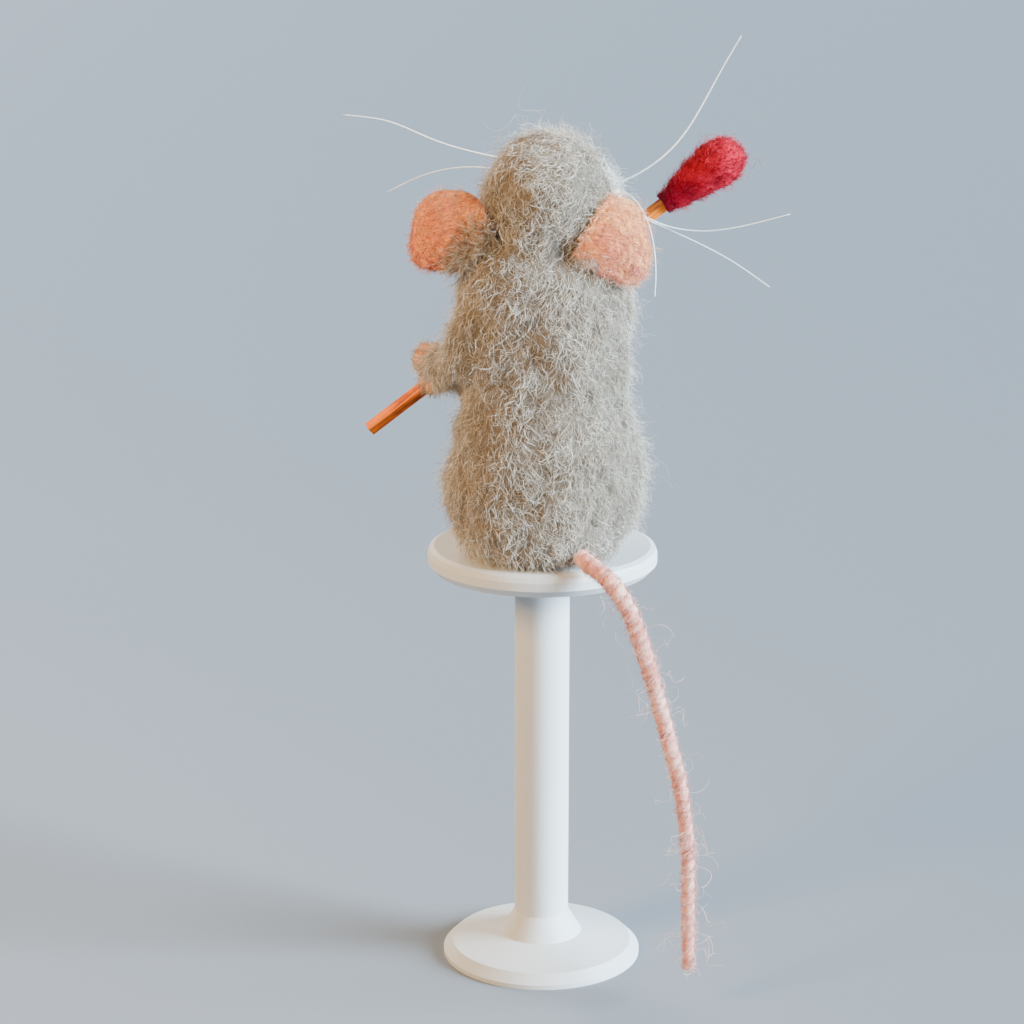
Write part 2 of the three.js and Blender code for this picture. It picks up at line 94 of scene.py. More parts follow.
camera = bpy.data.objects.new("camera", bpy.data.cameras.new("camera"))
bpy.context.scene.collection.objects.link(camera)
bpy.context.scene.camera = camera
camera.data.lens = 98.1
camera.data.sensor_width = 36
camera.data.clip_start = 0.01
away = Vector((0, math.cos(CAMERA_RISE), math.sin(CAMERA_RISE)))
camera.location = CAMERA_TARGET + away * CAMERA_DISTANCE
camera.rotation_mode = "QUATERNION"
camera.rotation_quaternion = (-away).to_track_quat("-Z", "Y")
print("camera at", [round(value, 3) for value in camera.location])

# %% [markdown]
# ## Colours of the wool
# Each fibre carries two numbers in a UV layer: how light it is, and how far along it a point lies. One ramp
# turns the first into a colour, and a second ramp darkens the roots, where little light gets in. Nothing
# else decides the colour, so a thousand fibres can share one small picture.

# %% Make the fibre and skin finishes
FIBRE_UV = "OFBake"

COAT_TONES = [
    (0.0, (0.085, 0.058, 0.036)),
    (0.25, (0.23, 0.170, 0.112)),
    (0.5, (0.44, 0.350, 0.245)),
    (0.75, (0.68, 0.590, 0.460)),
    (1.0, (0.92, 0.870, 0.780)),
]
# The coat's skin is painted far darker than its fibres: painted shade under the fibres.
COAT_SKIN_TONES = [(0.0, (0.085, 0.064, 0.045)), (1.0, (0.20, 0.155, 0.110))]
WHITE_TONES = [
    (0.0, (0.30, 0.25, 0.19)),
    (0.4, (0.62, 0.57, 0.49)),
    (1.0, (0.93, 0.91, 0.87)),
]
PEACH_TONES = [
    (0.0, (0.46, 0.085, 0.038)),
    (0.3, (0.80, 0.210, 0.105)),
    (0.6, (0.97, 0.340, 0.110)),
    (0.85, (1.00, 0.480, 0.120)),
    (1.0, (1.00, 0.740, 0.480)),
]
PINK_TONES = [
    (0.0, (0.46, 0.110, 0.072)),
    (0.35, (0.72, 0.250, 0.180)),
    (0.7, (0.90, 0.480, 0.370)),
    (1.0, (0.98, 0.780, 0.690)),
]
CRIMSON_TONES = [
    (0.0, (0.13, 0.0008, 0.006)),
    (0.5, (0.40, 0.0015, 0.016)),
    (0.85, (0.62, 0.0040, 0.032)),
    (1.0, (0.80, 0.0350, 0.075)),
]


def new_material(name, roughness=0.5):
    """An empty node material: its node tree and its surface shader."""
    material = bpy.data.materials.new(name)
    material.use_nodes = True
    shader = material.node_tree.nodes["Principled BSDF"]
    shader.inputs["Roughness"].default_value = roughness
    return material, material.node_tree, shader


def add_node(tree, kind, settings=None, **values):
    """A node of one kind, with its settings, and its sockets fed by a number or by another socket."""
    node = tree.nodes.new(f"ShaderNode{kind}")
    for setting, value in (settings or {}).items():
        setattr(node, setting, value)
    for socket, value in values.items():
        target = node.inputs[socket.replace("_", " ")]
        if isinstance(value, bpy.types.NodeSocket):
            tree.links.new(value, target)
        else:
            target.default_value = value
    return node


def ramp(tree, source, stops):
    """A colour ramp with (place, colour) stops. Returns its colour."""
    node = add_node(tree, "ValToRGB", Fac=source)
    elements = node.color_ramp.elements
    while len(elements) < len(stops):
        elements.new(0.5)
    for element, (place, colour) in zip(elements, stops):
        element.position = place
        element.color = (*colour, 1)
    return node.outputs["Color"]


def bumped(tree, shader, height, distance, **values):
    """Gives a shader small relief from a height."""
    bump = add_node(tree, "Bump", Height=height, Distance=distance, **values)
    tree.links.new(bump.outputs["Normal"], shader.inputs["Normal"])


def coloured(tree, shader, source, stops):
    """Gives a shader its base colour through a ramp."""
    tree.links.new(ramp(tree, source, stops), shader.inputs["Base Color"])


def varied_gloss(tree, shader, source, low, high):
    """Spreads a shader's roughness between two values."""
    spread = add_node(tree, "MapRange", Value=source, To_Min=low, To_Max=high)
    tree.links.new(spread.outputs["Result"], shader.inputs["Roughness"])


def object_place(tree):
    """The place on the object, which stays with the piece when it moves."""
    return add_node(tree, "TexCoord").outputs["Object"]


def noise(tree, place, scale, **values):
    """Cloudy noise from 0 to 1."""
    return add_node(tree, "TexNoise", Vector=place, Scale=scale, **values).outputs["Fac"]


ROOT_SHADE = [(0.0, (0.30, 0.26, 0.23)), (0.5, (0.84, 0.82, 0.80)), (0.85, (1, 1, 1))]


def fibre_finish(name, stops, sheen):
    """Wool fibre: colour from the fibre's own tone, darker towards its root."""
    material, tree, shader = new_material(name, 0.72)
    place = add_node(tree, "UVMap", {"uv_map": FIBRE_UV}).outputs["UV"]
    split = add_node(tree, "SeparateXYZ", Vector=place)
    shaded = add_node(tree, "Mix", {"data_type": "RGBA", "blend_type": "MULTIPLY"}, Factor=1)
    tree.links.new(ramp(tree, split.outputs["X"], stops), shaded.inputs["A"])
    tree.links.new(ramp(tree, split.outputs["Y"], ROOT_SHADE), shaded.inputs["B"])
    tree.links.new(shaded.outputs["Result"], shader.inputs["Base Color"])
    shader.inputs["Specular IOR Level"].default_value = 0.25
    shader.inputs["Sheen Weight"].default_value = sheen
    shader.inputs["Sheen Roughness"].default_value = 0.5
    return material


def matted_wool_group():
    """Felted wool seen close: cloudy tone, fine matted fibres, and the pits that the needle leaves."""
    group = bpy.data.node_groups.new("matted_wool", "ShaderNodeTree")
    for direction, kind, name in (("INPUT", "Vector", "Coordinates"), ("INPUT", "Float", "Scale"),
                                  ("OUTPUT", "Float", "Tone"), ("OUTPUT", "Float", "Height")):
        socket = group.interface.new_socket(name, in_out=direction, socket_type=f"NodeSocket{kind}")
        if name == "Scale":
            socket.default_value = 1.0
    source, target = group.nodes.new("NodeGroupInput"), group.nodes.new("NodeGroupOutput")
    sized = add_node(group, "VectorMath", {"operation": "SCALE"}, Vector=source.outputs["Coordinates"],
                     Scale=source.outputs["Scale"]).outputs["Vector"]
    cloud = noise(group, sized, 260, Detail=3)
    strands = noise(group, sized, 2400, Detail=4, Distortion=2.2)
    pits = add_node(group, "TexVoronoi", Vector=sized, Scale=900)
    tone = add_node(group, "Mix", Factor=0.45, A=cloud, B=strands)
    group.links.new(tone.outputs["Result"], target.inputs["Tone"])
    height = group.nodes.new("ShaderNodeMath")
    height.operation = "MULTIPLY_ADD"
    height.inputs[1].default_value = 0.5
    group.links.new(pits.outputs["Distance"], height.inputs[0])
    group.links.new(strands, height.inputs[2])
    group.links.new(height.outputs[0], target.inputs["Height"])
    return group


MATTED = matted_wool_group()


def skin_finish(name, stops, sheen):
    """Matted wool under the loose fibres, painted a little darker than they are as painted shade, since
    little light reaches under them.
    """
    material, tree, shader = new_material(name, 0.9)
    matted = add_node(tree, "Group", {"node_tree": MATTED}, Scale=1, Coordinates=object_place(tree))
    coloured(tree, shader, matted.outputs["Tone"], [(0.3 + 0.4 * where, colour) for where, colour in stops])
    bumped(tree, shader, matted.outputs["Height"], 0.25 * MM, Strength=0.8)
    shader.inputs["Specular IOR Level"].default_value = 0.15
    shader.inputs["Sheen Weight"].default_value = sheen
    return material


def darker(stops, share):
    """The same ramp with every colour dimmed: a shaded copy, painted shade for a skin under its fibres."""
    return [(place, tuple(value * share for value in colour)) for place, colour in stops]


# Each wool's fibre tones, its skin tones (darker, as painted shade under the fibres), and whether it has a
# sheen.
WOOLS = {
    "coat": (COAT_TONES, COAT_SKIN_TONES, 1),
    "white": (WHITE_TONES, darker(WHITE_TONES, 0.7), 1),
    "peach": (PEACH_TONES, darker(PEACH_TONES, 0.92), 1),
    "pink": (PINK_TONES, darker(PINK_TONES, 0.92), 1),
    "crimson": (CRIMSON_TONES, darker(CRIMSON_TONES, 0.9), 0),
}
FIBRE = {wool: fibre_finish(f"{wool}_fibre", row[0], 0.35 * row[2]) for wool, row in WOOLS.items()}
SKIN = {wool: skin_finish(f"{wool}_skin_finish", row[1], 0.3 * row[2]) for wool, row in WOOLS.items()}
print("finishes made", len(bpy.data.materials))

# %% [markdown]
# ## Skins
# Felting joins shapes: an arm needled on to a body leaves no seam. So the CAD shapes of one wool are put
# together, wrapped in a single skin by a voxel remesh, and relaxed until the joins are soft.

# %% Wrap CAD shapes in a wool skin
def as_piece(name, mesh, material):
    """A new object in the scene for a mesh, which may still be a bmesh."""
    if isinstance(mesh, bmesh.types.BMesh):
        shape, mesh = mesh, bpy.data.meshes.new(name)
        shape.to_mesh(mesh)
        shape.free()
    mesh.materials.append(material)
    piece = bpy.data.objects.new(name, mesh)
    bpy.context.scene.collection.objects.link(piece)
    return piece


def settle(piece):
    """Works the modifiers into the mesh."""
    graph = bpy.context.evaluated_depsgraph_get()
    made = bpy.data.meshes.new_from_object(piece.evaluated_get(graph))
    piece.modifiers.clear()
    old = piece.data
    piece.data = made
    bpy.data.meshes.remove(old)


def largest_shell(shape):
    """Deletes every loose part of the mesh but the one with the most faces."""
    unseen, shells = set(shape.faces), []
    while unseen:
        shell = [unseen.pop()]
        for face in shell:
            beside = {other for edge in face.edges for other in edge.link_faces} & unseen
            unseen -= beside
            shell.extend(beside)
        shells.append(shell)
    shells.sort(key=len)
    for shell in shells[:-1]:
        bmesh.ops.delete(shape, geom=shell, context="FACES")
    bmesh.ops.delete(shape, geom=[vert for vert in shape.verts if not vert.link_faces], context="VERTS")


# How far the shapes swell before they are wrapped, so that close neighbours join.
SKIN_GAP = 0.5 * MM


def felt_skin(name, nodes, material, voxel=0.9 * MM, inset=0.9 * MM, rounds=8):
    """One closed skin round the named CAD shapes, `inset` inside them, with its joins relaxed."""
    shape = bmesh.new()
    for node in nodes:
        shape.from_mesh(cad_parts[node].data)
    bmesh.ops.remove_doubles(shape, verts=shape.verts, dist=1e-6)
    piece = as_piece(name, shape, material)
    swell = piece.modifiers.new("swell", "DISPLACE")
    swell.mid_level = 0
    swell.strength = SKIN_GAP
    wrap = piece.modifiers.new("wrap", "REMESH")
    wrap.mode = "VOXEL"
    wrap.voxel_size = voxel
    relax = piece.modifiers.new("relax", "SMOOTH")
    relax.factor = 0.5
    relax.iterations = rounds
    shrink = piece.modifiers.new("shrink", "DISPLACE")
    shrink.mid_level = 0
    shrink.strength = -(inset + SKIN_GAP)
    settle(piece)
    shape = bmesh.new()
    shape.from_mesh(piece.data)
    largest_shell(shape)
    bmesh.ops.smooth_vert(shape, verts=shape.verts, factor=0.5, use_axis_x=True, use_axis_y=True,
                          use_axis_z=True)
    bmesh.ops.recalc_face_normals(shape, faces=shape.faces)
    for face in shape.faces:
        face.smooth = True
    shape.to_mesh(piece.data)
    shape.free()
    piece.data.materials.clear()
    piece.data.materials.append(material)
    print(name, len(piece.data.polygons), "faces")
    return piece


def field(points, size, seed):
    """A smooth random value of about -1 to 1 at each point, that changes over `size` metres."""
    chance = np.random.default_rng(seed)
    waves = 14
    total = np.zeros(len(points))
    for _ in range(waves):
        way = chance.normal(size=3)
        way /= np.linalg.norm(way)
        pitch = size * chance.uniform(0.8, 1.9)
        total += np.sin(points @ way * (2 * math.pi / pitch) + chance.uniform(0, 2 * math.pi))
    return np.clip(total / math.sqrt(waves), -1.6, 1.6)


def corners_of(piece):
    """Every vertex place and normal of a mesh, as arrays."""
    count = len(piece.data.vertices)
    places, normals = np.zeros(count * 3), np.zeros(count * 3)
    piece.data.vertices.foreach_get("co", places)
    piece.data.vertices.foreach_get("normal", normals)
    return places.reshape(-1, 3), normals.reshape(-1, 3)


def push(piece, amount):
    """Moves each vertex along its normal by its own amount."""
    places, normals = corners_of(piece)
    piece.data.vertices.foreach_set("co", (places + normals * amount[:, None]).ravel())
    piece.data.update()


def unit(vectors):
    """The same directions, each one long."""
    return vectors / (np.linalg.norm(vectors, axis=-1, keepdims=True) + 1e-12)


def middle_and_half(node):
    """The middle and the half size of a CAD shape's box."""
    low, high = (np.array(corner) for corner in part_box(node))
    return (low + high) / 2, (high - low) / 2


HEAD_MIDDLE = middle_and_half("head")[0]
FACE_WAY = unit(middle_and_half("nose")[0] - HEAD_MIDDLE)
BELLY_MIDDLE, BELLY_HALF = middle_and_half("belly_patch")


def under_white(places):
    """1 where white wool covers the coat, 0 elsewhere, with a soft edge."""
    from_head = places - HEAD_MIDDLE
    forward = from_head @ FACE_WAY
    aside = np.linalg.norm(from_head - forward[:, None] * FACE_WAY, axis=1)
    muzzle = np.clip((forward - 9.0 * MM) / (2.5 * MM), 0, 1) * (aside < 11 * MM)
    across = ((places - BELLY_MIDDLE) / BELLY_HALF)[:, [0, 2]]
    patch = np.clip((0.80 - np.linalg.norm(across, axis=1)) / 0.16, 0, 1)
    return np.maximum(muzzle, patch * (places[:, 1] < BELLY_MIDDLE[1]))


EYES = [middle_and_half(f"eye_{side}")[0] for side in ("left", "right")]


def eye_room(places):
    """0 at an eye, rising to 1 a few millimetres away, so that wool is cut short round the beads."""
    nearest = np.minimum(*(np.linalg.norm(places - eye, axis=1) for eye in EYES))
    return np.clip((nearest - 2.3 * MM) / (3.0 * MM), 0, 1)


# The grey skin also runs under the white wool, so no gap shows where the two meet.
COAT_NODES = ["torso", "haunch_left", "haunch_right", "head", "arm_left", "arm_right"]
WHITE_NODES = ["belly_patch", "muzzle", "cheek_left", "cheek_right"]
coat_skin = felt_skin("coat_skin", COAT_NODES + WHITE_NODES, SKIN["coat"])

# Folds where the wool is drawn in: across the back below the left arm, and up to the neck.
FOLDS = [
    ((9.6, 16.5, 42.0), (3.7, 15.5, 50.5), 1.3),
    ((3.7, 15.5, 50.5), (-1.5, 16.0, 41.0), 0.9),
    ((9.6, 16.5, 42.0), (19.5, 9.0, 37.5), 0.8),
    ((0.5, 17.5, 38.0), (1.5, 18.5, 12.0), 0.6),
]
FOLD_WIDTH = 3.2 * MM


def fold_depth(points):
    """How deep in a fold each point is, from 0 to about 1.3."""
    deepest = np.zeros(len(points))
    for start, end, depth in FOLDS:
        start, end = np.array(start) * MM, np.array(end) * MM
        along = end - start
        share = np.clip((points - start) @ along / (along @ along), 0, 1)
        apart = np.linalg.norm(points - start - share[:, None] * along, axis=1)
        deepest = np.maximum(deepest, depth * np.exp(-((apart / FOLD_WIDTH) ** 2)))
    return deepest


coat_places, _ = corners_of(coat_skin)
lumps = 0.45 * MM * field(coat_places, 11 * MM, 3) + 0.25 * MM * field(coat_places, 5 * MM, 4)
above_seat = np.clip(coat_places[:, 2] / (4 * MM), 0, 1)
covered = under_white(coat_places)
relief = (lumps - 0.8 * MM * fold_depth(coat_places)) * above_seat
push(coat_skin, relief * (1 - covered) - 0.5 * MM * covered)

# %% [markdown]
# ## Loose fibres
# A fibre is a thin three-sided tube that narrows to a point. It leaves the skin at a low angle, lies down
# along the way the wool was stroked, and curls. All the fibres of one wool are laid out as arrays and
# written as one mesh, because making them one at a time would take far too long.

# %% Tools that lay fibres
def scatter(piece, count, chance, weigh=None):
    """Random places spread evenly over a mesh, each with its normal."""
    piece.data.calc_loop_triangles()
    triangles = np.zeros(len(piece.data.loop_triangles) * 3, np.int32)
    piece.data.loop_triangles.foreach_get("vertices", triangles)
    triangles = triangles.reshape(-1, 3)
    places, normals = corners_of(piece)
    a, b, c = (places[triangles[:, k]] for k in range(3))
    area = np.linalg.norm(np.cross(b - a, c - a), axis=1)
    if weigh is not None:
        area = area * weigh((a + b + c) / 3, normals[triangles[:, 0]])
    pick = chance.choice(len(area), count, p=area / area.sum())
    u, v = chance.random(count), chance.random(count)
    over = u + v > 1
    u[over], v[over] = 1 - u[over], 1 - v[over]
    w = 1 - u - v
    corner = triangles[pick]

    def mix(values):
        at_a, at_b, at_c = (values[corner[:, k]] for k in range(3))
        return at_a * w[:, None] + at_b * u[:, None] + at_c * v[:, None]

    upright = mix(normals)
    return mix(places), upright / np.linalg.norm(upright, axis=1)[:, None]


def stroke(normals, along, swirl):
    """Directions that lie in the skin, follow `along`, and turn by `swirl` radians about the normal."""
    flat = unit(along - (along * normals).sum(1)[:, None] * normals)
    side = np.cross(normals, flat)
    return flat * np.cos(swirl)[:, None] + side * np.sin(swirl)[:, None]


SIDES = 3
TONE_STEP = 0.004


def strand_pattern(points):
    """Faces of one fibre as corner numbers, the size of each face, and its (side, share) layout."""
    loops, sizes, sides, shares = [], [], [], []
    rings = points - 1
    for ring in range(rings - 1):
        for side in range(SIDES):
            after = (side + 1) % SIDES
            low, high = ring * SIDES, (ring + 1) * SIDES
            loops += [low + side, low + after, high + after, high + side]
            sides += [side, side + 1, side + 1, side]
            shares += [ring, ring, ring + 1, ring + 1]
            sizes.append(4)
    tip = rings * SIDES
    for side in range(SIDES):
        last = (rings - 1) * SIDES
        loops += [last + side, last + (side + 1) % SIDES, tip]
        sides += [side, side + 1, side + 0.5]
        shares += [rings - 1, rings - 1, rings]
        sizes.append(3)
    loops += [0, 2, 1]
    sides += [0, 2, 1]
    shares += [0, 0, 0.2]
    sizes.append(3)
    return np.array(loops), np.array(sizes), np.array(sides, float), np.array(shares, float)


def around(chance, count, middle, spread):
    """Random sizes about a middle value, never below a third of it."""
    return np.maximum(chance.normal(middle, spread, count), middle * 0.3)


def fibres(name, material, chance, roots, normals, lay, length, thickness, lean, droop, curl, turns, tone,
           points, sunk=0.35 * MM, trim=1):
    """Writes one mesh of curled, tapered fibres.

    `length` and `thickness` are a middle value and a spread. `lean`, `droop`, `curl` and `turns` are the
    ends of a range. `tone` is an array, or is worked out from the roots. `trim` cuts fibres shorter.
    """
    count = len(roots)
    length = around(chance, count, *length) * trim
    thickness = around(chance, count, *thickness)
    lean, droop, curl, turns = (chance.uniform(*ends, count) for ends in (lean, droop, curl, turns))
    tone = tone(roots, chance) if callable(tone) else tone
    share = np.linspace(0, 1, points)
    side = np.cross(normals, lay)
    ahead = lay * np.cos(lean)[:, None] + normals * np.sin(lean)[:, None]
    lift = normals * np.cos(lean)[:, None] - lay * np.sin(lean)[:, None]
    phase = chance.uniform(0, 2 * math.pi, count)
    angle = 2 * math.pi * turns[:, None] * share[None, :] + phase[:, None]
    swing = (curl * length)[:, None] * np.clip(share * 2.5, 0, 1)[None, :]
    path = (roots - normals * sunk)[:, None, :] + ahead[:, None, :] * (length[:, None] * share)[:, :, None]
    path += lift[:, None, :] * (swing * (np.cos(angle) - np.cos(phase)[:, None]))[:, :, None]
    path += side[:, None, :] * (swing * (np.sin(angle) - np.sin(phase)[:, None]))[:, :, None]
    path -= normals[:, None, :] * (length[:, None] * droop[:, None] * share**2)[:, :, None]
    tangent = unit(np.gradient(path, axis=1))
    guide = unit(side + 0.35 * lift)[:, None, :]
    across = unit(np.cross(tangent, guide))
    over = np.cross(tangent, across)
    taper = (1 - 0.6 * share**2)[None, : points - 1] * thickness[:, None]
    turn = 2 * math.pi * np.arange(SIDES) / SIDES
    ring = (
        across[:, : points - 1, None, :] * np.cos(turn)[None, None, :, None]
        + over[:, : points - 1, None, :] * np.sin(turn)[None, None, :, None]
    )
    body = path[:, : points - 1, None, :] + ring * taper[:, :, None, None]
    corners = np.concatenate([body.reshape(count, -1, 3), path[:, -1:, :]], axis=1)
    per = corners.shape[1]
    loops, sizes, sides, shares = strand_pattern(points)
    mesh = bpy.data.meshes.new(name)
    mesh.vertices.add(count * per)
    mesh.vertices.foreach_set("co", corners.astype(np.float32).ravel())
    mesh.loops.add(count * len(loops))
    every = (loops[None, :] + (np.arange(count) * per)[:, None]).astype(np.int32)
    mesh.loops.foreach_set("vertex_index", every.ravel())
    mesh.polygons.add(count * len(sizes))
    starts = np.concatenate([[0], np.cumsum(np.tile(sizes, count))[:-1]]).astype(np.int32)
    mesh.polygons.foreach_set("loop_start", starts)
    mesh.update(calc_edges=True)
    mesh.polygons.foreach_set("use_smooth", np.ones(len(mesh.polygons), bool))
    layer = mesh.uv_layers.new(name=FIBRE_UV)
    across_uv = np.clip(tone, 0.01, 0.98)[:, None] + TONE_STEP * sides[None, :]
    along_uv = np.broadcast_to(0.01 + 0.98 * shares / (points - 1), across_uv.shape)
    layer.data.foreach_set("uv", np.stack([across_uv, along_uv], axis=2).astype(np.float32).ravel())
    piece = as_piece(name, mesh, material)
    print(name, count, "fibres", count * (2 * SIDES * (points - 2) + SIDES + 1), "triangles")
    return piece


# %% [markdown]
# ## The coat
# The coat hangs down the back and sides, and runs back from the nose over the head. Neighbouring fibres
# lean the same way in small locks, some locks paler and some darker. A few long ones fly free.

# %% Lay the coat
def coat_weight(places, normals):
    """Fibres are left out where the mouse sits on its base, and thin out under the white wool."""
    seated = (places[:, 2] < 1.5 * MM) & (normals[:, 2] < -0.6)
    return np.where(seated, 0.05, 1.0) * (1 - under_white(places)) * (eye_room(places) > 0)


def coat_way(places, normals, chance, loose):
    """Down the body, and back and down over the head, in locks that wander."""
    down = np.tile((0.0, 0.0, -1.0), (len(places), 1))
    on_head = np.clip((places[:, 2] - 60 * MM) / (8 * MM), 0, 1)[:, None]
    outward = unit(places - HEAD_MIDDLE + np.array((0, 0, 6)) * MM)
    back = unit(np.array((0.35, 0.75, -0.55)) + 0.5 * outward)
    along = down * (1 - on_head) + back * on_head
    swirl = 0.5 * field(places, 9 * MM, 11) + chance.normal(0, loose, len(places))
    return stroke(normals, along, swirl)


PALE_SPOT = np.array((-12.8, -4.2, 81)) * MM
PALE_REACH = 3.8 * MM


def coat_tone(places, chance):
    """Lighter and darker locks, painted shade in the folds, and every fibre a little different."""
    tone = 0.55 + 0.06 * field(places, 10 * MM, 21) + 0.06 * field(places, 3 * MM, 22)
    # Painted shade: fibres are coloured darker the deeper their root lies in a fold.
    tone += chance.normal(0, 0.24, len(places)) - 0.20 * fold_depth(places)
    return tone + 0.6 * np.exp(-((np.linalg.norm(places - PALE_SPOT, axis=1) / PALE_REACH) ** 2))


def coat_layer(name, count, bands, length, thickness, lean, points, seed):
    """One layer of the coat, written as bands from the base to the crown."""
    chance = np.random.default_rng(seed)
    roots, normals = scatter(coat_skin, count, chance, coat_weight)
    order = np.argsort(roots[:, 2])
    made = []
    for band, chosen in enumerate(np.array_split(order, bands)):
        places, upright = roots[chosen], normals[chosen]
        drawn_in = (1 - 0.35 * np.clip(fold_depth(places), 0, 1)) * (0.35 + 0.65 * eye_room(places))
        made.append(fibres(
            f"{name}_{band + 1}", FIBRE["coat"], chance, places, upright,
            coat_way(places, upright, chance, 0.7),
            (length, length * 0.27), (thickness, thickness * 0.22), lean, droop=(0.05, 0.5),
            curl=(0.04, 0.15), turns=(0.3, 1.1), tone=coat_tone, points=points, trim=drawn_in,
        ))
    return made


coat_pieces = [coat_skin]
coat_pieces += coat_layer("under_coat", 30000, 3, 2.9 * MM, 0.048 * MM, (0.1, 0.6), 4, 7)
coat_pieces += coat_layer("top_coat", 23000, 3, 3.9 * MM, 0.046 * MM, (0.15, 0.85), 5, 8)


def free_fibres(name, count, length, thickness, curl, turns, points, seed):
    """Coat fibres that stand away from the rest."""
    chance = np.random.default_rng(seed)
    roots, normals = scatter(coat_skin, count, chance, coat_weight)
    return fibres(
        name, FIBRE["coat"], chance, roots, normals, coat_way(roots, normals, chance, 1.0),
        (length, length * 0.25), (thickness, thickness * 0.17), (0.3, 1.1), (-0.1, 0.4), curl, turns,
        tone=lambda roots, chance: chance.normal(0.74, 0.12, count), points=points,
    )


coat_pieces += [
    free_fibres("coat_flyaways", 2600, 5.0 * MM, 0.028 * MM, (0.05, 0.18), (0.5, 1.8), 8, 9),
    free_fibres("coat_curls", 220, 8.0 * MM, 0.026 * MM, (0.09, 0.2), (0.9, 2.2), 16, 10),
]
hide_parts(*COAT_NODES)
for piece in coat_pieces:
    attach(piece, "mouse")

# %% [markdown]
# ## White wool
# Paler wool covers the muzzle, the cheeks and the belly. It is the same work in another colour.

# %% Lay the white wool
def woolly(name, nodes, body, wool, count, length, way, tone, seed,
           voxel=0.6 * MM, inset=0.4 * MM, thickness=0.05 * MM, lean=(0.1, 0.7), curl=(0.03, 0.12),
           flyaways=0, bumpy=0.15 * MM, rounds=5, weigh=None, shaping=None):
    """A skin round CAD shapes with its own loose fibres. Returns the skin."""
    chance = np.random.default_rng(seed)
    skin = felt_skin(f"{name}_skin", nodes, SKIN[wool], voxel, inset, rounds)
    places, _ = corners_of(skin)
    push(skin, bumpy * field(places, 3.5 * MM, seed + 1))
    if shaping:
        skin.data.vertices.foreach_set("co", shaping(corners_of(skin)[0]).ravel())
        skin.data.update()
    made = [skin]
    for part, (amount, longer, points) in enumerate([(count, 1, 4), (flyaways, 1.9, 9)]):
        if not amount:
            continue
        roots, normals = scatter(skin, amount, chance, weigh)
        swirl = chance.normal(0, 0.5 if part == 0 else 1.0, amount)
        made.append(fibres(
            f"{name}_{('wool', 'flyaways')[part]}", FIBRE[wool], chance, roots, normals,
            stroke(normals, way(roots), swirl), (length * longer, length * longer * 0.25),
            (thickness * (1 - 0.2 * part), thickness * 0.2), (lean[0], lean[1] + 0.3 * part), (0, 0.4),
            (curl[0], curl[1] * (1 + part)), (0.4, 1.4 + part),
            tone=lambda roots, chance: tone(roots, chance) + 0.15 * part,
            points=points, sunk=0.2 * MM, trim=0.3 + 0.7 * eye_room(roots),
        ))
    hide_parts(*nodes)
    for piece in made:
        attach(piece, body)
    return skin


def steady(vector):
    """A stroking direction that is the same everywhere."""
    return lambda places: np.tile(np.array(vector, float), (len(places), 1))


def mottled(middle, spread, size=3 * MM, seed=31):
    """Tones that vary in patches and from fibre to fibre."""
    return lambda places, chance: (
        middle + 0.5 * spread * field(places, size, seed) + chance.normal(0, spread * 0.7, len(places))
    )


def in_sight(places, normals):
    """White wool grows where the coat leaves it room, and not on an eye."""
    return (0.02 + under_white(places)) * (eye_room(places) > 0)


# The muzzle and both cheeks share one skin, so no seam shows between them.
woolly("muzzle", ["muzzle", "cheek_left", "cheek_right"], "mouse", "white", 4200, 2.6 * MM,
       steady((0.4, 0.88, 0.0)), mottled(0.64, 0.24), 101, flyaways=160, inset=0.3 * MM)
woolly("belly", ["belly_patch"], "mouse", "white", 2800, 3.3 * MM, steady((0, 0, -1)),
       mottled(0.58, 0.26), 131, flyaways=60, inset=0.3 * MM, lean=(0.1, 0.85), bumpy=0.3 * MM,
       weigh=in_sight)

# %% [markdown]
# ## Ears, nose, paws and feet
# These are peach wool, needled much harder than the coat, so they are smooth with only a short bloom. Each
# ear is a curved petal. Its wool is painted lighter and more orange at the top and pinker below, as painted
# light from above, and it is palest at its fluffy rim.

# %% Lay the peach wool
def ear_tone(node):
    """Painted light from above: lighter and more orange at the top, pinker below, with a pale rim."""
    middle, half = middle_and_half(node)

    def tone(places, chance):
        share = (places - middle) / half
        height = share[:, 2]
        rim = np.clip((np.linalg.norm(share[:, [0, 2]], axis=1) - 0.86) * 3, 0, 1)
        # Painted light from above: the height term makes the top of the ear lighter and more orange than
        # its bottom.
        base = 0.48 + 0.30 * height + 0.22 * rim + 0.10 * field(places, 4 * MM, 41)
        return base + chance.normal(0, 0.13, len(places))

    return tone


def coat_over(name, skin, body, count, near, reach, seed, length=3.2 * MM):
    """Coat fibres rooted on another piece, thick close to `near` and gone `reach` away from it."""
    chance = np.random.default_rng(seed)
    near = np.array(near)

    def weigh(places, normals):
        return np.clip(1.25 - np.linalg.norm(places - near, axis=1) / reach, 0, 1) ** 1.5

    roots, normals = scatter(skin, count, chance, weigh)
    along = unit(roots - near) + np.array((0, 0, -0.5))
    piece = fibres(
        name, FIBRE["coat"], chance, roots, normals, stroke(normals, along, chance.normal(0, 0.6, count)),
        (length, length * 0.25), (0.050 * MM, 0.01 * MM), (0.1, 0.8), (0.05, 0.4), (0.04, 0.15), (0.3, 0.9),
        tone=coat_tone, points=4,
    )
    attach(piece, body)


def inner_end(node):
    """The low point of an ear that lies closest to the head."""
    middle, half = middle_and_half(node)
    towards = unit((HEAD_MIDDLE - middle) * np.array((1, 1, 0)))
    return middle + towards * half[0] - np.array((0, 0, 0.7)) * half[2]


